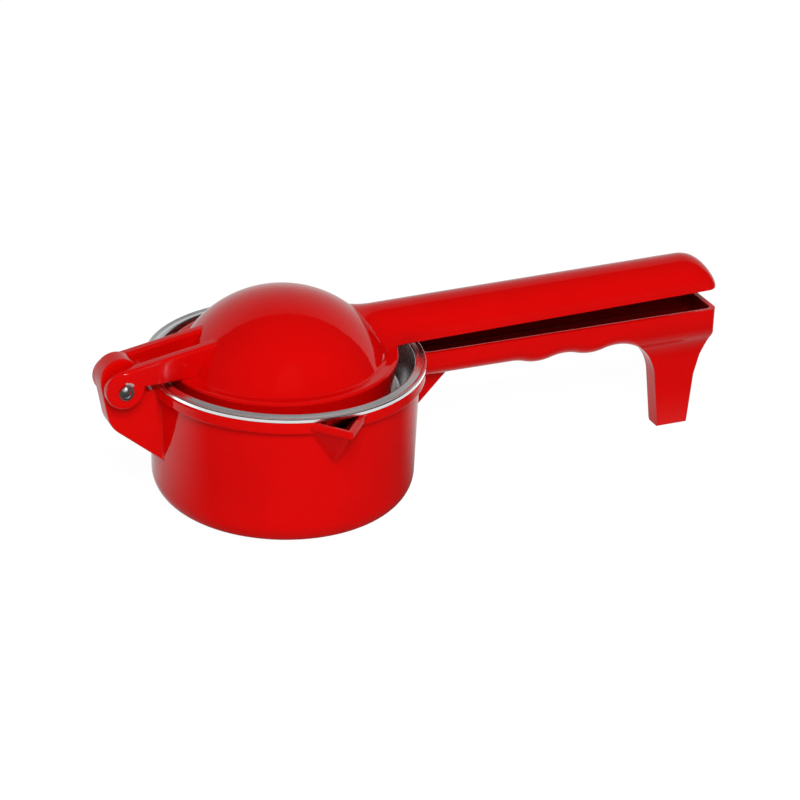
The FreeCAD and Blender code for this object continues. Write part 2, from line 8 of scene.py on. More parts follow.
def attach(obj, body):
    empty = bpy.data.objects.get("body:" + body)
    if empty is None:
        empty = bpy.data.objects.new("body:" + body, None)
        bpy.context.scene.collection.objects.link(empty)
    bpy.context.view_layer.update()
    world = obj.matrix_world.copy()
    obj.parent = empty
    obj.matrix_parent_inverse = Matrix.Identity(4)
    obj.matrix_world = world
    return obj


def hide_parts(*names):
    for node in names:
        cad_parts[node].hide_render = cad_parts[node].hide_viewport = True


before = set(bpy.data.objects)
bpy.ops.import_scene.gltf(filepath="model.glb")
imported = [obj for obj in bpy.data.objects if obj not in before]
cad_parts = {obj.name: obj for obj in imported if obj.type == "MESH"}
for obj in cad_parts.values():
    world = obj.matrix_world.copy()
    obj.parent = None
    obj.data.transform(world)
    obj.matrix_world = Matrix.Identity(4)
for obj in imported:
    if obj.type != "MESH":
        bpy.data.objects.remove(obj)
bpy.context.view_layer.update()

# Hinged lemon squeezer. Lengths are millimetres until blank() puts a piece on the bench in metres.
# x runs along the handle, z is up and the spout points to -y.
# The press lever is drawn with the hinge pin at 0, 0 and then laid in its rest place.
MM = 0.001
HINGE_X, HINGE_Z = -65.4, 54.6
REST_ANGLE = 1.27
PIN_R, PIN_HALF = 2.95, 9.7
LUG_BORE_R, EAR_BORE_R = 2.97, 3.01
WELD = 0.0005
FINE_WELD = 0.000002
NEAR = 0.01
# Turned pieces are set round a little, so that no seam lies on the middle plane.
SEAM_TURN = 0.7


# Bench tools

def trace(moves):
    """An outline in the side view: (x, z) runs straight there, (x, z, degrees, steps) turns about it."""
    bm = bmesh.new()
    tip = bm.verts.new((moves[0][0], 0.0, moves[0][1]))
    for move in moves[1:]:
        if len(move) == 2:
            tip = bmesh.ops.extrude_vert_indiv(bm, verts=[tip])["verts"][0]
            tip.co = (move[0], 0.0, move[1])
        else:
            x, z, degrees, steps = move
            swept = bmesh.ops.spin(bm, geom=[tip], cent=(x, 0.0, z), axis=(0.0, -1.0, 0.0),
                                   angle=math.radians(degrees), steps=steps)
            tip = next(item for item in swept["geom_last"] if isinstance(item, bmesh.types.BMVert))
    return bm


def tidy_shell(bm):
    """Merge what lies together and point the faces outwards."""
    bmesh.ops.remove_doubles(bm, verts=bm.verts, dist=WELD)
    bmesh.ops.dissolve_degenerate(bm, edges=bm.edges, dist=WELD)
    bmesh.ops.recalc_face_normals(bm, faces=bm.faces)
    return bm


def turned(moves, x=0.0, steps=144):
    """A piece turned about an upright axis at x, from an outline that starts and ends on that axis."""
    bm = trace(moves)
    bmesh.ops.spin(bm, geom=bm.verts[:] + bm.edges[:], cent=(x, 0.0, 0.0), axis=(0.0, 0.0, 1.0),
                   angle=math.tau, steps=steps, use_merge=True)
    seam = Matrix.Rotation(math.radians(SEAM_TURN), 3, "Z")
    bmesh.ops.rotate(bm, verts=bm.verts, cent=(x, 0.0, 0.0), matrix=seam)
    return tidy_shell(bm)


def drawn_out(bm, start, travel):
    """Fill a closed outline, take it to its start and draw it out into a solid."""
    bmesh.ops.remove_doubles(bm, verts=bm.verts, dist=WELD)
    bmesh.ops.edgeloop_fill(bm, edges=bm.edges[:])
    bmesh.ops.translate(bm, verts=bm.verts, vec=start)
    drawn = bmesh.ops.extrude_face_region(bm, geom=bm.faces[:])
    moved = [item for item in drawn["geom"] if isinstance(item, bmesh.types.BMVert)]
    bmesh.ops.translate(bm, verts=moved, vec=travel)
    return tidy_shell(bm)


def slab(moves, near_side, far_side):
    """A flat blank cut to a closed outline, from one side to the other across the handle."""
    return drawn_out(trace(moves), (0.0, near_side, 0.0), (0.0, far_side - near_side, 0.0))


def turn_about(bm, axis, degrees):
    turn = Matrix.Rotation(math.radians(degrees), 3, axis)
    bmesh.ops.rotate(bm, verts=bm.verts, cent=(0.0, 0.0, 0.0), matrix=turn)
    return bm


def laid_across(bm):
    """Turn an outline drawn in the side view so that it looks along the handle."""
    return turn_about(bm, "Z", 90.0)


def laid_flat(bm):
    """Turn an outline drawn in the side view so that it looks down: its z becomes y."""
    return turn_about(bm, "X", -90.0)


def block(low, high):
    """A plain block between two corners."""
    bm = bmesh.new()
    bmesh.ops.create_cube(bm, size=1.0)
    bmesh.ops.scale(bm, vec=[b - a for a, b in zip(low, high)], verts=bm.verts)
    bmesh.ops.translate(bm, verts=bm.verts, vec=[(a + b) / 2 for a, b in zip(low, high)])
    return bm


def bar(x, z, radius, half_length, sides=48):
    """A round bar across the handle."""
    bm = bmesh.new()
    bmesh.ops.create_cone(bm, cap_ends=True, segments=sides, radius1=radius, radius2=radius,
                          depth=half_length * 2)
    turn_about(bm, "X", 90.0)
    bmesh.ops.translate(bm, verts=bm.verts, vec=(x, 0.0, z))
    return bm


def round_over(bm, radius, segments, chosen, clamp=True):
    """Round those edges that the test picks out. Clamped, the radius gives way where an edge is short."""
    edges = [edge for edge in bm.edges if chosen(edge)]
    bmesh.ops.bevel(bm, geom=edges, offset=radius, offset_type="OFFSET", segments=segments, profile=0.5,
                    affect="EDGES", material=-1, clamp_overlap=clamp, loop_slide=True)
    return bm


def is_upright(edge):
    return abs(edge.verts[0].co.z - edge.verts[1].co.z) > 1.0


def is_level(edge):
    return abs(edge.verts[0].co.z - edge.verts[1].co.z) < NEAR


def lies_at(edge, level):
    return all(abs(v.co.z - level) < NEAR for v in edge.verts)


def on_middle_plane(edge):
    """True for an edge with both ends at x = 0, as the ridge of the spout has."""
    return all(abs(v.co.x) < NEAR for v in edge.verts)


def rim_of(faces_y):
    """Picks the edges that run round the two flat sides of a slab."""
    def runs_round(edge):
        near, far = (v.co.y for v in edge.verts)
        return abs(near - far) < NEAR and min(abs(near - y) for y in faces_y) < NEAR
    return runs_round


def blank(name, bm, lay=None):
    """Put a shell on the bench as an object, in metres."""
    if lay is not None:
        bmesh.ops.transform(bm, matrix=lay, verts=bm.verts)
    bmesh.ops.scale(bm, vec=(MM, MM, MM), verts=bm.verts)
    mesh = bpy.data.meshes.new(name)
    bm.to_mesh(mesh)
    bm.free()
    piece = bpy.data.objects.new(name, mesh)
    bpy.context.scene.collection.objects.link(piece)
    return piece


def blanks(shells, lay=None):
    return [blank(name, bm, lay) for name, bm in shells.items()]


def weld_and_cut(body, added, cutters):
    """Join shells onto a body, cut others out of it, and take the bench pieces away."""
    for tool, way in [(t, "UNION") for t in added] + [(t, "DIFFERENCE") for t in cutters]:
        step = body.modifiers.new(way.lower(), "BOOLEAN")
        step.operation = way
        step.solver = "EXACT"
        step.object = tool
    bpy.context.view_layer.update()
    done = bpy.data.meshes.new_from_object(body.evaluated_get(bpy.context.evaluated_depsgraph_get()))
    body.modifiers.clear()
    body.data = done
    for tool in added + cutters:
        bpy.data.objects.remove(tool)
    return body


def soften(piece, crease=32.0):
    """Smooth shading that stops at creases sharper than the angle given."""
    mesh = piece.data
    bm = bmesh.new()
    bm.from_mesh(mesh)
    bmesh.ops.remove_doubles(bm, verts=bm.verts, dist=FINE_WELD)
    bmesh.ops.dissolve_degenerate(bm, edges=bm.edges, dist=FINE_WELD)
    bm.to_mesh(mesh)
    bm.free()
    mesh.polygons.foreach_set("use_smooth", [True] * len(mesh.polygons))
    mesh.set_sharp_from_angle(angle=math.radians(crease))
    weigh = piece.modifiers.new("even_normals", "WEIGHTED_NORMAL")
    weigh.keep_sharp = True
    weigh.weight = 95
    return piece


# Base casting: the bowl with its rolled lip

BOWL_TOP = 53.2
FLOOR_R = 39.4
BOTTOM_ROUND = 10.5
WALL_R = 50.6
LIP_R, LIP_LOW = 52.9, 48.5
LIP_FILLET, LIP_LOW_ROUND, LIP_TOP_ROUND = 1.1, 1.2, 1.0

FLOOR_THICKNESS = 3.0
INNER_ROUND = 8.3
MOUTH_R, MOUTH_Z, MOUTH_ROUND = 48.5, 51.8, 0.6
CLEAR_ABOVE = 56.0


def bowl_outside():
    return turned([
        (0.0, 0.0), (FLOOR_R, 0.0), (FLOOR_R, BOTTOM_ROUND, 90.0, 14), (WALL_R, LIP_LOW - LIP_FILLET),
        (WALL_R + LIP_FILLET, LIP_LOW - LIP_FILLET, -90.0, 5),
        (LIP_R - LIP_LOW_ROUND, LIP_LOW + LIP_LOW_ROUND, 90.0, 6),
        (LIP_R, BOWL_TOP - LIP_TOP_ROUND), (LIP_R - LIP_TOP_ROUND, BOWL_TOP - LIP_TOP_ROUND, 90.0, 6),
        (0.0, BOWL_TOP),
    ])


def bowl_inside():
    return turned([
        (0.0, FLOOR_THICKNESS), (FLOOR_R, FLOOR_THICKNESS),
        (FLOOR_R, FLOOR_THICKNESS + INNER_ROUND, 90.0, 12), (MOUTH_R, MOUTH_Z),
        (MOUTH_R + MOUTH_ROUND, MOUTH_Z, -90.0, 4), (MOUTH_R + MOUTH_ROUND, CLEAR_ABOVE), (0.0, CLEAR_ABOVE),
    ])


# Base casting: the spout, a beak under the lip with a V channel through it

SPOUT_SLOPE = math.tan(math.radians(40.7))
SPOUT_BACK = 44.0
SPOUT_TIP, SPOUT_LOW = 64.6, 50.2
# A hair under the bowl's lip, so that the two tops don't lie in one plane.
SPOUT_TOP = BOWL_TOP - 0.03
SPOUT_TIP_ROUND, SPOUT_EDGE_ROUND = 1.3, 0.9
BEAK_BACK = SPOUT_BACK + 0.3
BEAK_TOP = SPOUT_LOW + 0.6
BEAK_ROUND = 2.4
BEAK_TIP, BEAK_LOW_TIP, BEAK_LOW = 62.9, 50.6, 33.5
CHANNEL_TIP, CHANNEL_LOW_TIP, CHANNEL_LOW = 65.3, 50.4, 45.0


def vee_prism(tip, back, low, high):
    """A V in plan that points at the viewer, standing from low to high."""
    half = (tip - back) * SPOUT_SLOPE
    plan = laid_flat(trace([(0.0, -tip), (half, -back), (-half, -back), (0.0, -tip)]))
    return drawn_out(plan, (0.0, 0.0, low), (0.0, 0.0, high - low))


def tapered_vee(tip, low_tip, back, low, high):
    """A V prism whose tip is drawn back at its foot."""
    bm = vee_prism(tip, back, low, high)
    share = (low_tip - back) / (tip - back)
    at_foot = [v for v in bm.verts if abs(v.co.z - low) < NEAR]
    bmesh.ops.scale(bm, vec=(share, share, 1.0), verts=at_foot, space=Matrix.Translation((0.0, back, 0.0)))
    return bm


def spout_beak():
    bm = tapered_vee(BEAK_TIP, BEAK_LOW_TIP, BEAK_BACK, BEAK_LOW, BEAK_TOP)
    return round_over(bm, BEAK_ROUND, 6, on_middle_plane)


def spout_lip():
    def shows(edge):
        return is_level(edge) and min(v.co.y for v in edge.verts) < -SPOUT_BACK - 1.0

    bm = vee_prism(SPOUT_TIP, SPOUT_BACK, SPOUT_LOW, SPOUT_TOP)
    round_over(bm, SPOUT_TIP_ROUND, 6, on_middle_plane)
    return round_over(bm, SPOUT_EDGE_ROUND, 6, shows)


def spout_channel():
    return tapered_vee(CHANNEL_TIP, CHANNEL_LOW_TIP, SPOUT_BACK, CHANNEL_LOW, CLEAR_ABOVE)


# Base casting: the hinge bracket with its lug, and the gusset under the handle

RIB_ROOT = 48.6
LUG_X, LUG_Z, LUG_R = -65.9, 58.3, 7.55
LUG_HALF = 4.1
BRACKET_FOOT, BRACKET_TOP = 21.0, 51.6
BEND_START = (-70.9, 43.0)
BEND_CENTRE = (-59.13, 45.31)
BEND_TURN = 39.6
BRACKET_ROUND = 0.8
# The plane of the bracket's lower edge.
BRACKET_EDGE_POINT, BRACKET_EDGE_NORMAL = (-48.8, 0.0, 21.5), (-0.64, 0.0, -0.77)
FILLET_WALL = -49.9
FILLET_R = 1.6
FILLET_LOW, FILLET_HIGH = 16.0, 47.0
GUSSET_HALF, GUSSET_ROUND = 2.5, 0.6
GUSSET_FOOT, GUSSET_TOP, GUSSET_REACH = 20.9, 43.0, 69.6


def hinge_bracket():
    left, right = LUG_X - LUG_R, LUG_X + LUG_R
    bm = slab([
        (-RIB_ROOT, BRACKET_FOOT), (-RIB_ROOT, BRACKET_TOP), (right, BRACKET_TOP), (right, LUG_Z),
        (LUG_X, LUG_Z, 180.0, 26), (left, CLEAR_ABOVE), BEND_START, (*BEND_CENTRE, BEND_TURN, 10),
        (-RIB_ROOT, BRACKET_FOOT),
    ], -LUG_HALF, LUG_HALF)
    return round_over(bm, BRACKET_ROUND, 3, rim_of((-LUG_HALF, LUG_HALF)))


def bracket_fillet():
    """The soft corners between bracket and bowl, both sides in one, cut off along the lower edge."""
    inner, outer = FILLET_WALL + 2.0, FILLET_WALL - FILLET_R
    edge = LUG_HALF + FILLET_R
    plan = laid_flat(trace([
        (inner, -edge), (FILLET_WALL, -edge), (outer, -edge, 90.0, 5), (outer, LUG_HALF),
        (outer, edge, 90.0, 5), (inner, edge), (inner, -edge),
    ]))
    bm = drawn_out(plan, (0.0, 0.0, FILLET_LOW), (0.0, 0.0, FILLET_HIGH - FILLET_LOW))
    bmesh.ops.bisect_plane(bm, geom=bm.verts[:] + bm.edges[:] + bm.faces[:], plane_co=BRACKET_EDGE_POINT,
                           plane_no=BRACKET_EDGE_NORMAL, clear_outer=True)
    bmesh.ops.holes_fill(bm, edges=[e for e in bm.edges if e.is_boundary], sides=0)
    return tidy_shell(bm)


def gusset():
    foot = (RIB_ROOT, GUSSET_FOOT)
    bm = slab([foot, (GUSSET_REACH, GUSSET_TOP), (RIB_ROOT, GUSSET_TOP), foot], -GUSSET_HALF, GUSSET_HALF)
    return round_over(bm, GUSSET_ROUND, 3, rim_of((-GUSSET_HALF, GUSSET_HALF)))


# Base casting: the handle with its finger bumps, its arch and its leg

HANDLE_TOP, HANDLE_LOW = 52.4, 41.0
HANDLE_END = 179.29
HANDLE_HALF = 11.1
BUMPS = (102.5, 125.5)
BUMP_PITCH = 23.0
BUMP_DEPTH = 1.7
BUMP_R = ((BUMP_PITCH / 2) ** 2 + BUMP_DEPTH ** 2) / (4 * BUMP_DEPTH)
ARCH_X, ARCH_Z, ARCH_R = 137.0, 20.4, 20.6
LEG_LEAN, CALF_LEAN = 7.5, 4.2
LEG_HALF = 3.7
HEEL_R, HEEL_Z, HEEL_TURN = 25.0, 40.0, 24.0
GRIP_ROUND, HEEL_ROUND, FOOT_ROUND = 7.0, 3.2, 1.1
BLEND_TOP, BLEND_LOW = HANDLE_TOP - 3.2, HANDLE_TOP - 23.4
TROUGH_START = 52.9
TROUGH_DEPTH = 8.8
TROUGH_WALL, TROUGH_END_WALL = 1.8, 1.9
TROUGH_CORNER, TROUGH_FLOOR_ROUND = 2.6, 3.0


def finger_wave():
    """The underside's bumps, each from groove to groove, as arcs that turn one way and then the other."""
    turn = 2 * math.degrees(math.asin(math.hypot(BUMP_PITCH / 4, BUMP_DEPTH / 2) / (2 * BUMP_R)))
    moves = []
    for bump in BUMPS:
        moves += [
            (bump - BUMP_PITCH / 2, HANDLE_LOW - BUMP_R, -turn, 6),
            (bump, HANDLE_LOW - BUMP_DEPTH + BUMP_R, 2 * turn, 12),
            (bump + BUMP_PITCH / 2, HANDLE_LOW - BUMP_R, -turn, 6),
        ]
    return moves


def handle_slab():
    lean, calf, heel = (math.radians(angle) for angle in (LEG_LEAN, CALF_LEAN, HEEL_TURN))
    leg_x = ARCH_X + ARCH_R * math.cos(lean)
    leg_z = ARCH_Z + ARCH_R * math.sin(lean)
    shin_foot_x = leg_x + leg_z * math.tan(lean)
    turn_x = HANDLE_END - HEEL_R * (1 - math.cos(heel))
    turn_z = HEEL_Z - HEEL_R * math.sin(heel)
    calf_x = turn_x - HEEL_R * (math.cos(calf) - math.cos(heel))
    calf_z = turn_z - HEEL_R * (math.sin(heel) - math.sin(calf))
    calf_foot_x = calf_x - calf_z * math.tan(calf)
    root = (RIB_ROOT, HANDLE_LOW)
    wave_start = (BUMPS[0] - BUMP_PITCH / 2, HANDLE_LOW)
    bm = slab([root, wave_start] + finger_wave() + [
        (ARCH_X, ARCH_Z, -(90.0 - LEG_LEAN), 28), (shin_foot_x, 0.0), (calf_foot_x, 0.0), (calf_x, calf_z),
        (turn_x, turn_z), (HANDLE_END - HEEL_R, HEEL_Z, HEEL_TURN, 8), (HANDLE_END, HANDLE_TOP),
        (RIB_ROOT, HANDLE_TOP), root,
    ], -HANDLE_HALF, HANDLE_HALF)
    sides = rim_of((-HANDLE_HALF, HANDLE_HALF))

    def is_underside(edge):
        far = max(v.co.x for v in edge.verts)
        high = max(v.co.z for v in edge.verts)
        return sides(edge) and RIB_ROOT + 0.1 < far < shin_foot_x + 0.1 and 1.0 < high < HANDLE_TOP - 1.0

    def is_heel(edge):
        near = min(v.co.x for v in edge.verts)
        low = min(v.co.z for v in edge.verts)
        return sides(edge) and near > calf_foot_x - 0.1 and low < HANDLE_TOP - 0.1

    round_over(bm, GRIP_ROUND, 9, is_underside)
    return round_over(bm, HEEL_ROUND, 6, is_heel, False)


def leg_side_cutter(sign):
    """What is taken away beside the leg, with the soft S where the leg grows out of the handle."""
    drop = (BLEND_TOP - BLEND_LOW) / 2
    step = (HANDLE_HALF - LEG_HALF) / 2
    curve = (drop ** 2 + step ** 2) / (2 * step)
    turn = math.degrees(math.asin(drop / curve))
    beyond, below = sign * (HANDLE_HALF + 3.0), -2.0
    sole = sign * (LEG_HALF - FOOT_ROUND)
    outline = laid_across(trace([
        (beyond, below), (beyond, BLEND_TOP), (sign * HANDLE_HALF, BLEND_TOP),
        (sign * (HANDLE_HALF - curve), BLEND_TOP, -sign * turn, 10),
        (sign * (LEG_HALF + curve), BLEND_LOW, sign * turn, 10),
        (sign * LEG_HALF, FOOT_ROUND), (sole, FOOT_ROUND, -sign * 90.0, 4), (sole, below), (beyond, below),
    ]))
    return drawn_out(outline, (ARCH_X - 0.3, 0.0, 0.0), (60.0, 0.0, 0.0))


def handle_trough():
    half = HANDLE_HALF - TROUGH_WALL
    low = HANDLE_TOP - TROUGH_DEPTH
    bm = block((TROUGH_START, -half, low), (HANDLE_END - TROUGH_END_WALL, half, HANDLE_TOP + 4.0))
    round_over(bm, TROUGH_CORNER, 5, is_upright)
    return round_over(bm, TROUGH_FLOOR_ROUND, 6, lambda edge: lies_at(edge, low))


def make_base():
    leg_sides = blanks({"near_leg_side": leg_side_cutter(-1.0), "far_leg_side": leg_side_cutter(1.0)})
    handle = weld_and_cut(blank("handle", handle_slab()), [], leg_sides)
    added = blanks({
        "beak": spout_beak(), "spout_lip": spout_lip(), "bracket": hinge_bracket(),
        "bracket_fillet": bracket_fillet(), "gusset": gusset(),
    })
    cutters = blanks({
        "bowl_hollow": bowl_inside(), "channel": spout_channel(), "trough": handle_trough(),
        "lug_bore": bar(HINGE_X, HINGE_Z, LUG_BORE_R, 8.0),
    })
    body = blank("base_casting_enamelled", bowl_outside())
    return soften(weld_and_cut(body, added + [handle], cutters))


# Press lever: the dome with its shoulder and skirt

PRESS_X = 64.1
DOME_R, DOME_Z = 43.59, -18.2
HOLLOW_R = 40.6
HOLLOW_WAIST = -7.6
SHOULDER_R, SHOULDER_Z = 43.7, 1.2
SHOULDER_FILLET, SHOULDER_ROUND = 1.5, 1.1
SKIRT_R, SKIRT_Z = 41.3, -12.3
SKIRT_ROUND, SKIRT_CHAMFER, SKIRT_WALL = 0.5, 0.6, 3.0


def press_outside():
    fillet_z = SHOULDER_Z + SHOULDER_FILLET
    reach = math.sqrt((DOME_R + SHOULDER_FILLET) ** 2 - (fillet_z - DOME_Z) ** 2)
    rise = math.degrees(math.atan2(fillet_z - DOME_Z, reach))
    foot = PRESS_X + SKIRT_R - SKIRT_ROUND
    shoulder_low = SHOULDER_Z - SHOULDER_ROUND
    return turned([
        (PRESS_X, SKIRT_Z), (foot, SKIRT_Z), (foot, SKIRT_Z + SKIRT_ROUND, 90.0, 3),
        (PRESS_X + SHOULDER_R, shoulder_low), (PRESS_X + SHOULDER_R - SHOULDER_ROUND, shoulder_low, 90.0, 6),
        (PRESS_X + reach, SHOULDER_Z), (PRESS_X + reach, fillet_z, rise - 90.0, 6),
        (PRESS_X, DOME_Z, 90.0 - rise, 30),
    ], PRESS_X, 160)


def press_inside():
    waist = math.degrees(math.asin((HOLLOW_WAIST - DOME_Z) / HOLLOW_R))
    mouth = PRESS_X + SKIRT_R - SKIRT_WALL
    below = SKIRT_Z - 3.0
    return turned([
        (PRESS_X, below), (mouth + 1.0, below), (mouth + SKIRT_CHAMFER, SKIRT_Z),
        (mouth, SKIRT_Z + SKIRT_CHAMFER),
        (PRESS_X + HOLLOW_R * math.cos(math.radians(waist)), HOLLOW_WAIST),
        (PRESS_X, DOME_Z, 90.0 - waist, 22),
    ], PRESS_X, 96)


# Press lever: the half-round beam, hollow beneath

BEAM_LOW = 0.8
BEAM_HALF = 11.0
BEAM_LENGTH = 244.7
BEAM_FALL = math.tan(math.radians(0.44))
BEAM_TOP_END = 12.88
NOSE_R, NOSE_DROP = 12.8, 9.6
NOSE_CORNER = 4.5
NOSE_STEPS = 10
ROOT_LEAN = -0.8
# Places along the beam where it spreads into the dome, and how far each side spreads.
ROOT_FLARES = ((92.0, 11.0), (96.0, 7.6), (98.0, 5.4), (100.0, 3.7), (102.0, 2.4), (104.0, 1.4), (106.0, 0.7),
               (108.0, 0.25), (110.5, 0.0))
PLAIN_PLACES = (126.0, 160.0, 195.0)
BEAM_EDGE_ROUND = 0.7
BEAM_SIDE_WALL, BEAM_ROOF_WALL = 3.0, 2.8
HOLLOW_START, HOLLOW_END = 109.8, 232.0


def half_round_ring(half, low, top, steps):
    """One cross-section of the handle: flat underneath, straight sides, half-round on top."""
    start = (-half, low)
    bm = laid_across(trace([start, (half, low), (half, top - half), (0.0, top - half, 180.0, steps), start]))
    bmesh.ops.remove_doubles(bm, verts=bm.verts, dist=WELD)
    return bm


def beam_top(x):
    return BEAM_TOP_END + (BEAM_LENGTH - x) * BEAM_FALL


def beam_sections():
    """Each cross-section's place, spread of each side, top and lean, from inside the dome to the nose."""
    nose_start = BEAM_LENGTH - math.sqrt(NOSE_R ** 2 - (NOSE_R - NOSE_DROP) ** 2)
    nose_turn = 90.0 - math.degrees(math.asin((NOSE_R - NOSE_DROP) / NOSE_R))
    sections = [(x, flare, beam_top(x) + flare * 0.5, ROOT_LEAN) for x, flare in ROOT_FLARES]
    sections += [(x, 0.0, beam_top(x), 0.0) for x in PLAIN_PLACES + (nose_start - 3.0,)]
    for step in range(NOSE_STEPS + 1):
        angle = math.radians(90.0 - nose_turn * step / NOSE_STEPS)
        x = nose_start + NOSE_R * math.cos(angle)
        past = max(0.0, x - (BEAM_LENGTH - NOSE_CORNER))
        corner = NOSE_CORNER - math.sqrt(max(0.0, NOSE_CORNER ** 2 - past ** 2))
        sections.append((x, -corner, beam_top(x) - NOSE_R * (1 - math.sin(angle)), 0.0))
    return sections


def section_place(x, wide, high, lean):
    """Stretches a cross-section sideways and upwards, leans it along the beam and takes it to its place."""
    tilt = Matrix.Identity(4)
    tilt[0][2] = lean
    return Matrix.Translation((x, 0.0, 0.0)) @ tilt @ Matrix.Diagonal((1.0, wide, high, 1.0))


def beam_blank():
    """The handle drawn section by section: flared where it leaves the dome, rounded down at the nose."""
    sections = beam_sections()
    height = beam_top(sections[0][0]) - BEAM_LOW
    bm = half_round_ring(BEAM_HALF, 0.0, height, 36)
    ring = bm.edges[:]
    before = Matrix.Identity(4)
    for number, (x, flare, top, lean) in enumerate(sections):
        if number:
            drawn = bmesh.ops.extrude_edge_only(bm, edges=ring)["geom"]
            ring = [item for item in drawn if isinstance(item, bmesh.types.BMEdge)
                    and all(v in drawn for v in item.verts)]
        place = section_place(x, (BEAM_HALF + flare) / BEAM_HALF, (top - BEAM_LOW) / height, lean)
        ring_verts = list({v for e in ring for v in e.verts})
        bmesh.ops.transform(bm, matrix=place @ before.inverted(), verts=ring_verts)
        before = place
    bmesh.ops.holes_fill(bm, edges=[e for e in bm.edges if e.is_boundary], sides=0)
    bmesh.ops.translate(bm, verts=bm.verts, vec=(0.0, 0.0, BEAM_LOW))
    tidy_shell(bm)

    def is_lower_edge(edge):
        return (lies_at(edge, BEAM_LOW) and min(abs(v.co.y) for v in edge.verts) > 1.0
                and edge.calc_face_angle(0.0) > 0.6)

    return round_over(bm, BEAM_EDGE_ROUND, 3, is_lower_edge)


def beam_hollow():
    """The hollow along the handle's underside."""
    outline = half_round_ring(BEAM_HALF - BEAM_SIDE_WALL, BEAM_LOW - 4.0, BEAM_TOP_END - BEAM_ROOF_WALL, 28)
    return drawn_out(outline, (HOLLOW_START, 0.0, 0.0), (HOLLOW_END - HOLLOW_START, 0.0, 0.0))


# Press lever: the two-armed fork

EAR_R, EAR_Z = 7.5, 0.6
ARM_RISE = 9.1
ARM_NEAR, ARM_FAR = 4.4, 9.0
ARM_ROUND = 1.3


def fork_arm(side):
    """One arm of the fork with its round ear."""
    slope = math.radians(ARM_RISE)
    inside = PRESS_X - HOLLOW_R / 2
    meet_x, meet_z = -EAR_R * math.sin(slope), EAR_Z + EAR_R * math.cos(slope)
    last = math.degrees(math.asin((BEAM_LOW - EAR_Z) / EAR_R)) + 360.0
    faces = sorted((side * ARM_NEAR, side * ARM_FAR))
    bm = slab([
        (inside, BEAM_LOW), (inside, meet_z + (inside - meet_x) * math.tan(slope)), (meet_x, meet_z),
        (0.0, EAR_Z, last - 90.0 - ARM_RISE, 52), (inside, BEAM_LOW),
    ], *faces)
    return round_over(bm, ARM_ROUND, 5, rim_of(faces), False)


def make_lever():
    swing = Matrix.Rotation(math.radians(REST_ANGLE), 4, Vector((0.0, -1.0, 0.0)))
    rest = Matrix.Translation((HINGE_X, 0.0, HINGE_Z)) @ swing
    body = blank("press_lever_enamelled", press_outside(), rest)
    added = blanks({"beam": beam_blank(), "near_arm": fork_arm(-1.0), "far_arm": fork_arm(1.0)}, rest)
    cutters = blanks({
        "press_hollow": press_inside(), "beam_hollow": beam_hollow(), "ear_bore": bar(0.0, 0.0, EAR_BORE_R, 14.0),
    }, rest)
    return soften(weld_and_cut(body, added, cutters))


# Strainer cup

CUP_DOME_Z = 36.4
CUP_DOME_R, CUP_DOME_INSIDE_R = 33.6, 32.4
CUP_FLOOR, CUP_FLOOR_UNDER = 42.4, 40.8
CUP_FLOOR_R = 42.9
DRAIN_RINGS = ((38.3, 18), (25.0, 12), (17.1, 8))
DRAIN_R = 1.8
DRAIN_MIDDLE, DRAIN_LENGTH = 55.0, 36.0
CUP_WALL_TOP, CUP_WALL_TOP_INSIDE = (47.9, 51.8), (47.4, 52.0)
# The rolled rim from its seat on the bowl, round its outer edge, along two fine grooves and over its bead.
CUP_RIM = [
    (48.5, 53.2), (52.65, 53.2), (52.95, 53.5), (52.95, 54.5), (52.45, 54.5, 110.0, 8), (51.7, 54.72),
    (51.3, 54.62), (51.0, 54.74), (49.3, 55.15), (49.3, 54.35, 85.0, 6),
]
CUP_CORNER_INSIDE = [(43.9, 43.4), (43.4, 42.7), (42.8, CUP_FLOOR)]


def strainer_cup():
    """Underside of the dome, floor and wall, over the rolled rim, and down inside to the top of the dome."""
    under = math.degrees(math.asin((CUP_FLOOR_UNDER - CUP_DOME_Z) / CUP_DOME_INSIDE_R))
    over = math.degrees(math.asin((CUP_FLOOR - CUP_DOME_Z) / CUP_DOME_R))
    dome_foot = CUP_DOME_R * math.cos(math.radians(over))
    underside = [
        (0.0, CUP_DOME_Z + CUP_DOME_INSIDE_R), (0.0, CUP_DOME_Z, under - 90.0, 30),
        (CUP_FLOOR_R, CUP_FLOOR_UNDER), (CUP_FLOOR_R, CUP_FLOOR, 65.0, 5), CUP_WALL_TOP,
    ]
    inside = [CUP_WALL_TOP_INSIDE] + CUP_CORNER_INSIDE + [
        (dome_foot + 0.6, CUP_FLOOR), (dome_foot, CUP_FLOOR), (0.0, CUP_DOME_Z, 90.0 - over, 34),
    ]
    return turned(underside + CUP_RIM + inside, 0.0, 160)


def drain_holes():
    """Round drain holes in three rings, all straight down."""
    bm = bmesh.new()
    for reach, count in DRAIN_RINGS:
        for number in range(count):
            turn = Matrix.Rotation(math.tau * number / count, 4, "Z")
            place = turn @ Matrix.Translation((reach, 0.0, DRAIN_MIDDLE))
            bmesh.ops.create_cone(bm, cap_ends=True, segments=20, radius1=DRAIN_R, radius2=DRAIN_R,
                                  depth=DRAIN_LENGTH, matrix=place)
    return bm


def make_strainer():
    cup = blank("strainer_cup", strainer_cup())
    return soften(weld_and_cut(cup, [], blanks({"drains": drain_holes()})), 25.0)


# Hinge pin

# Radius and depth below the end: a low crown, a groove round it and a bright ring outside.
PIN_END = ((0.0, 0.05), (1.0, 0.12), (1.7, 0.33), (2.05, 0.5), (2.2, 0.25), (2.4, 0.0), (2.6, 0.0),
           (2.85, 0.15), (PIN_R, 0.4))


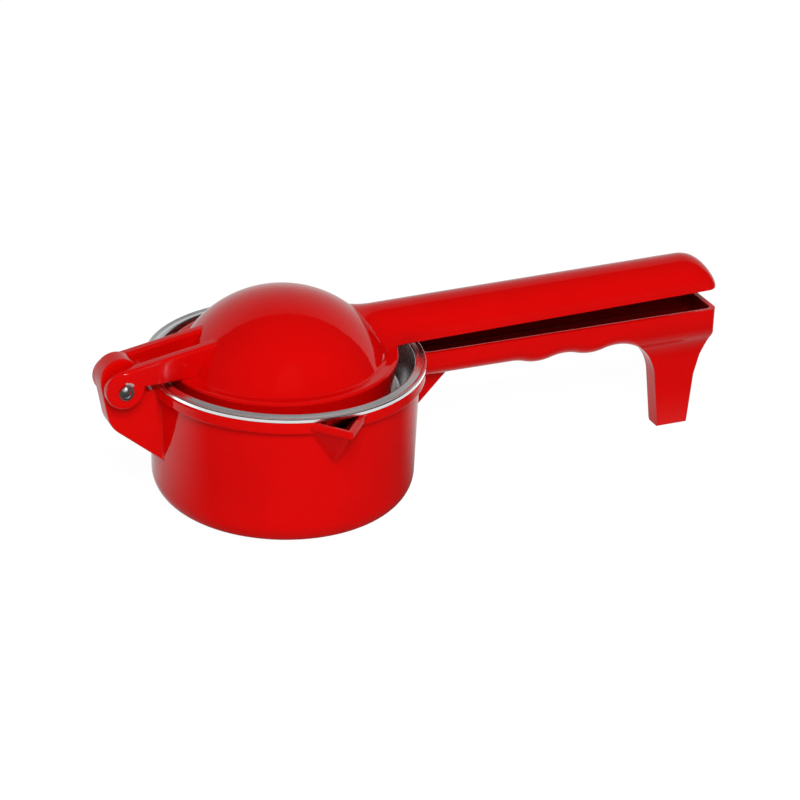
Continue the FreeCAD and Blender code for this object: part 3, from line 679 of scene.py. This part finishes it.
def make_pin():
    """A steel pin with the same end on both sides."""
    far_end = [(radius, -PIN_HALF + depth) for radius, depth in PIN_END]
    near_end = [(radius, PIN_HALF - depth) for radius, depth in reversed(PIN_END)]
    lay = Matrix.Translation((HINGE_X, 0.0, HINGE_Z)) @ Matrix.Rotation(math.radians(90.0), 4, "X")
    return soften(blank("hinge_pin_steel", turned(far_end + near_end, 0.0, 48), lay), 50.0)


# Node helpers for the finishes and the studio

def new_group(name, inputs, outputs):
    group = bpy.data.node_groups.new(name, "ShaderNodeTree")
    for label, kind, value in inputs:
        socket = group.interface.new_socket(label, in_out="INPUT", socket_type=kind)
        if value is not None:
            socket.default_value = value
    for label, kind in outputs:
        group.interface.new_socket(label, in_out="OUTPUT", socket_type=kind)
    return group, group.nodes.new("NodeGroupInput"), group.nodes.new("NodeGroupOutput")


def placed_group(tree, group, vector, **values):
    node = tree.nodes.new("ShaderNodeGroup")
    node.node_tree = group
    tree.links.new(vector, node.inputs["Vector"])
    for label, value in values.items():
        node.inputs[label].default_value = value
    return node


def feed(tree, slot, value):
    """Link an output to a socket, or set the socket to a number or a colour."""
    if isinstance(value, (int, float, tuple)):
        slot.default_value = value
    elif value is not None:
        tree.links.new(value, slot)


def math_node(tree, operation, a, b=None, c=None):
    node = tree.nodes.new("ShaderNodeMath")
    node.operation = operation
    for slot, value in zip(node.inputs, (a, b, c)):
        feed(tree, slot, value)
    return node.outputs[0]


def vector_math(tree, operation, first, second=None, result="Vector"):
    node = tree.nodes.new("ShaderNodeVectorMath")
    node.operation = operation
    for slot, value in zip(node.inputs, (first, second)):
        feed(tree, slot, value)
    return node.outputs[result]


def separated(tree, vector):
    node = tree.nodes.new("ShaderNodeSeparateXYZ")
    tree.links.new(vector, node.inputs[0])
    return node.outputs


def distance_from_axis(tree, first, second):
    squares = [math_node(tree, "MULTIPLY", side, side) for side in (first, second)]
    return math_node(tree, "SQRT", math_node(tree, "ADD", *squares))


def noise(tree, vector, scale, detail=3.0, roughness=0.5):
    node = tree.nodes.new("ShaderNodeTexNoise")
    node.inputs["Scale"].default_value = scale
    node.inputs["Detail"].default_value = detail
    node.inputs["Roughness"].default_value = roughness
    tree.links.new(vector, node.inputs["Vector"])
    return node.outputs["Fac"]


def span(tree, value, low, high, to_low, to_high, smooth=False):
    """Carry a value from one span to another, and hold it at the ends."""
    node = tree.nodes.new("ShaderNodeMapRange")
    node.interpolation_type = "SMOOTHSTEP" if smooth else "LINEAR"
    tree.links.new(value, node.inputs["Value"])
    for label, number in (("From Min", low), ("From Max", high), ("To Min", to_low), ("To Max", to_high)):
        node.inputs[label].default_value = number
    return node.outputs["Result"]


def mix_colour(tree, factor, first, second):
    """Mix two colours. A Mix node has its factor in slot 0, its colours in 6 and 7, and its result in 2."""
    node = tree.nodes.new("ShaderNodeMix")
    node.data_type = "RGBA"
    for slot, value in ((0, factor), (6, first), (7, second)):
        feed(tree, node.inputs[slot], value)
    return node.outputs[2]


def object_vector(tree):
    return tree.nodes.new("ShaderNodeTexCoord").outputs["Object"]


def bump(tree, height, strength, distance, normal=None):
    node = tree.nodes.new("ShaderNodeBump")
    node.inputs["Strength"].default_value = strength
    node.inputs["Distance"].default_value = distance
    tree.links.new(height, node.inputs["Height"])
    feed(tree, node.inputs["Normal"], normal)
    return node.outputs["Normal"]


def rounded_normal(tree, radius, samples=4):
    """A normal that makes every crease look softly rounded."""
    node = tree.nodes.new("ShaderNodeBevel")
    node.samples = samples
    node.inputs["Radius"].default_value = radius
    return node.outputs["Normal"]


def new_material(name):
    material = bpy.data.materials.new(name)
    material.use_nodes = True
    tree = material.node_tree
    return material, tree, tree.nodes["Principled BSDF"]


# Red enamel, with painted shade darkening the trough, and the chip by the pin

ENAMEL_RED = (0.74, 0.0016, 0.0012, 1.0)
ENAMEL_DEEP = (0.64, 0.001, 0.001, 1.0)
# Painted shade: the inside of the handle's trough, which lies in shade under the lever, is coloured dark red.
TROUGH_SHADE_RED = (0.16, 0.0012, 0.001, 1.0)
CHIP_GREY = (0.40, 0.40, 0.38, 1.0)
# The box, in metres, inside which the painted shade darkens the trough.
TROUGH_MIDDLE = (0.1152, 0.0, 0.0478)
TROUGH_HALF = (0.0625, 0.0095, 0.0044)
CHIP_REACH, CHIP_HALF_WIDTH, CHIP_RAGGED = 0.00355, 0.00038, 0.0012
CHIP_ANGLE, CHIP_HALF_ANGLE = math.radians(68.0), math.radians(24.0)
CHIP_SIDE = -0.0084
MASK_EDGE = 0.00025
DRIFT_SCALE, HAZE_SCALE, WAVE_SCALE, PEEL_SCALE = 38.0, 95.0, 110.0, 420.0
ENAMEL_ROUGHNESS = (0.04, 0.08)
PEEL_STRENGTH, PEEL_DEPTH = 0.12, 0.0002
CREASE_ROUND = 0.0006


def enamel_group():
    """Poured enamel: slight colour drift, faint orange peel and a haze of fine rubbing."""
    group, given, out = new_group("poured_enamel", [
        ("Vector", "NodeSocketVector", None), ("Colour", "NodeSocketColor", ENAMEL_RED),
        ("Deep", "NodeSocketColor", ENAMEL_DEEP),
    ], [("Colour", "NodeSocketColor"), ("Roughness", "NodeSocketFloat"), ("Height", "NodeSocketFloat")])
    vector = given.outputs["Vector"]
    drift = span(group, noise(group, vector, DRIFT_SCALE, 2.0), 0.35, 0.75, 0.0, 0.35, True)
    colour = mix_colour(group, drift, given.outputs["Colour"], given.outputs["Deep"])
    haze = span(group, noise(group, vector, HAZE_SCALE, 4.0, 0.6), 0.45, 0.8, *ENAMEL_ROUGHNESS, True)
    waves = math_node(group, "MULTIPLY", noise(group, vector, WAVE_SCALE, 1.0), 2.0)
    peel = math_node(group, "ADD", noise(group, vector, PEEL_SCALE, 1.0), waves)
    for label, value in (("Colour", colour), ("Roughness", haze), ("Height", peel)):
        group.links.new(value, out.inputs[label])
    return group


def box_mask_group():
    """White inside a box given by its middle and half-size, with a soft edge of a quarter millimetre."""
    group, given, out = new_group("inside_box", [
        ("Vector", "NodeSocketVector", None), ("Middle", "NodeSocketVector", (0.0, 0.0, 0.0)),
        ("Half", "NodeSocketVector", (0.01, 0.01, 0.01)),
    ], [("Mask", "NodeSocketFloat")])
    away = vector_math(group, "SUBTRACT", given.outputs["Vector"], given.outputs["Middle"])
    room = vector_math(group, "SUBTRACT", given.outputs["Half"], vector_math(group, "ABSOLUTE", away))
    x, y, z = separated(group, room)
    least = math_node(group, "MINIMUM", math_node(group, "MINIMUM", x, y), z)
    group.links.new(span(group, least, 0.0, MASK_EDGE, 0.0, 1.0), out.inputs["Mask"])
    return group


def chip_group():
    """A ragged arc of bare metal just outside the pin on the near ear."""
    group, given, out = new_group("chip_by_pin", [("Vector", "NodeSocketVector", None)],
                                  [("Mask", "NodeSocketFloat")])
    vector = given.outputs["Vector"]
    x, y, z = separated(group, vector)
    x = math_node(group, "SUBTRACT", x, HINGE_X * MM)
    z = math_node(group, "SUBTRACT", z, HINGE_Z * MM)
    ragged = math_node(group, "MULTIPLY_ADD", noise(group, vector, 900.0, 2.0), CHIP_RAGGED, -CHIP_RAGGED / 2)
    off_ring = math_node(group, "SUBTRACT", distance_from_axis(group, x, z), CHIP_REACH)
    off_ring = math_node(group, "ABSOLUTE", math_node(group, "ADD", off_ring, ragged))
    off_arc = math_node(group, "SUBTRACT", math_node(group, "ARCTAN2", z, x), CHIP_ANGLE)
    off_arc = math_node(group, "ABSOLUTE", off_arc)
    ring = span(group, off_ring, CHIP_HALF_WIDTH, CHIP_HALF_WIDTH + 0.00012, 1.0, 0.0)
    arc = span(group, off_arc, CHIP_HALF_ANGLE, CHIP_HALF_ANGLE + math.radians(4.0), 1.0, 0.0)
    near = span(group, y, CHIP_SIDE - 0.0002, CHIP_SIDE, 1.0, 0.0)
    mask = math_node(group, "MULTIPLY", math_node(group, "MULTIPLY", ring, arc), near)
    group.links.new(mask, out.inputs["Mask"])
    return group


def enamel(name, coat_group, painted_shade_box=None, chip=None):
    """Red enamel, darkened by painted shade inside a box where one is given, and chipped where a chip is given.
    """
    material, tree, shader = new_material(name)
    vector = object_vector(tree)
    coat = placed_group(tree, coat_group, vector, Colour=ENAMEL_RED, Deep=ENAMEL_DEEP)
    colour = coat.outputs["Colour"]
    if painted_shade_box:
        # Painted shade: a darker red inside the trough's box stands in for the shade under the lever.
        inside = placed_group(tree, painted_shade_box, vector, Middle=TROUGH_MIDDLE, Half=TROUGH_HALF)
        colour = mix_colour(tree, inside.outputs["Mask"], colour, TROUGH_SHADE_RED)
    if chip:
        bare = placed_group(tree, chip, vector)
        colour = mix_colour(tree, bare.outputs["Mask"], colour, CHIP_GREY)
    tree.links.new(colour, shader.inputs["Base Color"])
    tree.links.new(coat.outputs["Roughness"], shader.inputs["Roughness"])
    rounded = rounded_normal(tree, CREASE_ROUND)
    normal = bump(tree, coat.outputs["Height"], PEEL_STRENGTH, PEEL_DEPTH, rounded)
    tree.links.new(normal, shader.inputs["Normal"])
    shader.inputs["IOR"].default_value = 1.5
    return material


# Bare metal of the cup and the pin

ALUMINIUM_DULL = (0.80, 0.80, 0.81, 1.0)
ALUMINIUM_BRIGHT = (0.90, 0.90, 0.90, 1.0)
RING_SCALE, CLOUD_SCALE = 1800.0, 60.0
METAL_ROUGHNESS = (0.16, 0.34)
RING_DEPTH = 0.0001


def spun_metal_group():
    """Spun sheet metal: fine rings about the upright axis, with a cloudy sheen."""
    group, given, out = new_group("spun_metal", [("Vector", "NodeSocketVector", None)], [
        ("Colour", "NodeSocketColor"), ("Roughness", "NodeSocketFloat"), ("Height", "NodeSocketFloat"),
    ])
    x, y, z = separated(group, given.outputs["Vector"])
    along = group.nodes.new("ShaderNodeCombineXYZ")
    group.links.new(distance_from_axis(group, x, y), along.inputs[0])
    group.links.new(z, along.inputs[1])
    rings = noise(group, along.outputs[0], RING_SCALE, 3.0, 0.7)
    cloud = noise(group, given.outputs["Vector"], CLOUD_SCALE, 3.0)
    sheen = span(group, math_node(group, "ADD", rings, cloud), 0.7, 1.4, *METAL_ROUGHNESS)
    colour = mix_colour(group, span(group, cloud, 0.3, 0.7, 0.0, 1.0), ALUMINIUM_DULL, ALUMINIUM_BRIGHT)
    for label, value in (("Colour", colour), ("Roughness", sheen), ("Height", rings)):
        group.links.new(value, out.inputs[label])
    return group


def bright_metal(name, group, bump_strength):
    material, tree, shader = new_material(name)
    finish = placed_group(tree, group, object_vector(tree))
    tree.links.new(finish.outputs["Colour"], shader.inputs["Base Color"])
    tree.links.new(finish.outputs["Roughness"], shader.inputs["Roughness"])
    normal = bump(tree, finish.outputs["Height"], bump_strength, RING_DEPTH)
    tree.links.new(normal, shader.inputs["Normal"])
    shader.inputs["Metallic"].default_value = 1.0
    return material


# Studio: what the glossy pieces see around them

SWEEP_DIRECTION = (0.29, 0.95, -0.12)
SWEEP_EDGE, SWEEP_SOFTNESS = 0.355, 0.02
SWEEP_LOW, SWEEP_HIGH = 0.72, 0.10
DARK_ROOM = 0.035
TABLE_FRONT, TABLE_BACK = -0.035, 0.04
TABLE_DARK, TABLE_PALE = 0.05, 0.72
AMBIENT = (0.16, 0.16, 0.16, 1.0)
WHITE = (1.0, 1.0, 1.0, 1.0)
FLOOR_PAINT = (0.95, 0.95, 0.95, 1.0)
FLOOR_GLOW = (1.10, 1.10, 1.10, 1.0)
FLOOR_GLOW_SHARE = 0.88


def room_brightness(tree, vector):
    """The room in reflections: a white sweep behind the object that fades upwards, dark in front of it."""
    unit = vector_math(tree, "NORMALIZE", vector)
    behind = vector_math(tree, "DOT_PRODUCT", unit, SWEEP_DIRECTION, "Value")
    sweep = span(tree, separated(tree, unit)["Z"], 0.0, 0.9, SWEEP_LOW, SWEEP_HIGH)
    edge = span(tree, behind, SWEEP_EDGE - SWEEP_SOFTNESS, SWEEP_EDGE + SWEEP_SOFTNESS, 0.0, 1.0, True)
    return math_node(tree, "ADD", math_node(tree, "MULTIPLY", sweep, edge), DARK_ROOM)


def table_brightness(tree, vector):
    """The table seen in reflections: white behind the object, dark in front of it."""
    return span(tree, separated(tree, vector)["Y"], TABLE_FRONT, TABLE_BACK, TABLE_DARK, TABLE_PALE, True)


def light_the_room():
    world = bpy.data.worlds.new("white_studio")
    bpy.context.scene.world = world
    world.use_nodes = True
    tree = world.node_tree
    path = tree.nodes.new("ShaderNodeLightPath")
    seen = room_brightness(tree, tree.nodes.new("ShaderNodeTexCoord").outputs["Generated"])
    light = mix_colour(tree, path.outputs["Is Glossy Ray"], AMBIENT, seen)
    shown = mix_colour(tree, path.outputs["Is Camera Ray"], light, WHITE)
    tree.links.new(shown, tree.nodes["Background"].inputs["Color"])


def floor_material():
    """Pale paint that keeps the shadow, mostly washed out to white for the camera."""
    material = bpy.data.materials.new("pale_floor")
    material.use_nodes = True
    tree = material.node_tree
    tree.nodes.clear()
    out = tree.nodes.new("ShaderNodeOutputMaterial")
    paint = tree.nodes.new("ShaderNodeBsdfDiffuse")
    paint.inputs["Color"].default_value = FLOOR_PAINT
    glow = tree.nodes.new("ShaderNodeEmission")
    path = tree.nodes.new("ShaderNodeLightPath")
    glossy = path.outputs["Is Glossy Ray"]
    seen = table_brightness(tree, object_vector(tree))
    tree.links.new(mix_colour(tree, glossy, FLOOR_GLOW, seen), glow.inputs["Color"])
    washed = math_node(tree, "MULTIPLY", path.outputs["Is Camera Ray"], FLOOR_GLOW_SHARE)
    share = math_node(tree, "MAXIMUM", washed, glossy)
    mixer = tree.nodes.new("ShaderNodeMixShader")
    for slot, value in enumerate((share, paint.outputs[0], glow.outputs[0])):
        tree.links.new(value, mixer.inputs[slot])
    tree.links.new(mixer.outputs[0], out.inputs["Surface"])
    return material


def lay_floor():
    bm = bmesh.new()
    bmesh.ops.create_grid(bm, x_segments=1, y_segments=1, size=3000.0)
    floor = blank("floor", bm)
    floor.data.materials.append(floor_material())


# Studio: lamps and camera

LIT_POINT = Vector((0.03, 0.0, 0.03))


def lamp(name, direction, distance, size, power, glossy=True, diffuse=True):
    """A square soft lamp that looks at the object from a direction."""
    data = bpy.data.lights.new(name, "AREA")
    data.shape = "SQUARE"
    data.size = size
    data.energy = power
    item = bpy.data.objects.new(name, data)
    bpy.context.scene.collection.objects.link(item)
    away = Vector(direction).normalized()
    item.location = LIT_POINT + away * distance
    item.rotation_euler = away.to_track_quat("Z", "Y").to_euler()
    item.visible_glossy = glossy
    item.visible_diffuse = diffuse
    item.visible_camera = False
    return item


def shine_only_on(piece, name, *cards):
    """Light cards for bare metal that the other pieces don't receive."""
    lit = bpy.data.collections.new(name)
    lit.objects.link(piece)
    for card in cards:
        card.light_linking.receiver_collection = lit


def set_lamps(cup, pin):
    lamp("key_light", (-0.18, -0.68, 0.71), distance=1.6, size=0.7, power=20.0, glossy=False)
    lamp("spark", (0.07, -0.93, 0.33), distance=1.2, size=0.03, power=0.3, diffuse=False)
    shine_only_on(pin, "bright_pieces",
                  lamp("rim_card", (-0.1, -0.9, 0.25), distance=0.6, size=0.35, power=0.25))
    shine_only_on(cup, "rim_only",
                  lamp("table_card", (0.0, 0.0, -1.0), distance=0.029, size=1.2, power=3.6),
                  lamp("ceiling_card", (0.0, 0.0, 1.0), distance=0.9, size=1.0, power=1.1))


# The photograph's view: angles in degrees, then the focal length and the object's offset in its pixels.
CAMERA_DOWN, CAMERA_ROUND, CAMERA_ROLL = 26.01, 24.79, 2.2135
CAMERA_DISTANCE = 1.1
PHOTO_PIXELS = 800.0
FOCAL_PIXELS = 2914.49
OFFSET_RIGHT_PIXELS, OFFSET_DOWN_PIXELS = -115.41, 20.87
SENSOR_WIDTH = 36.0


def set_camera():
    """The photograph's own view, from 26 degrees above and 25 degrees round to the left."""
    down, around, roll = (math.radians(angle) for angle in (CAMERA_DOWN, CAMERA_ROUND, CAMERA_ROLL))
    ahead = Vector((math.sin(around) * math.cos(down), math.cos(around) * math.cos(down), -math.sin(down)))
    right = Vector((math.cos(around), -math.sin(around), 0.0))
    up = right.cross(ahead)
    pixel = CAMERA_DISTANCE / FOCAL_PIXELS
    place = (Vector((0.0, 0.0, 0.03)) - ahead * CAMERA_DISTANCE - right * OFFSET_RIGHT_PIXELS * pixel
             + up * OFFSET_DOWN_PIXELS * pixel)
    axis_x = right * math.cos(roll) + up * math.sin(roll)
    axis_y = -right * math.sin(roll) + up * math.cos(roll)
    data = bpy.data.cameras.new("camera")
    data.sensor_width = SENSOR_WIDTH
    data.lens = FOCAL_PIXELS * SENSOR_WIDTH / PHOTO_PIXELS
    data.clip_start = 0.01
    data.clip_end = 50.0
    camera = bpy.data.objects.new("camera", data)
    bpy.context.scene.collection.objects.link(camera)
    turn = Matrix((axis_x, axis_y, -ahead)).transposed()
    camera.matrix_world = Matrix.Translation(place) @ turn.to_4x4()
    bpy.context.scene.camera = camera


# Putting it together

base = make_base()
lever = make_lever()
cup = make_strainer()
pin = make_pin()

enamel_coat = enamel_group()
metal_finish = spun_metal_group()
base_finish = enamel("red_enamel_base", enamel_coat, painted_shade_box=box_mask_group())
lever_finish = enamel("red_enamel_lever", enamel_coat, chip=chip_group())
cup_finish = bright_metal("spun_aluminium", metal_finish, 0.15)
pin_finish = bright_metal("pin_steel", metal_finish, 0.05)
for piece, material, node, body, slot in (
    (base, base_finish, "base_casting", "base", "base_enamel"),
    (lever, lever_finish, "press_lever", "lever", "lever_enamel"),
    (cup, cup_finish, "strainer", "base", "strainer_metal"),
    (pin, pin_finish, "hinge_pin", "base", "pin_steel"),
):
    piece.data.materials.clear()
    piece.data.materials.append(material)
    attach(piece, body)
    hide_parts(node)

light_the_room()
lay_floor()
set_lamps(cup, pin)
set_camera()
bpy.context.scene.view_settings.view_transform = "Standard"
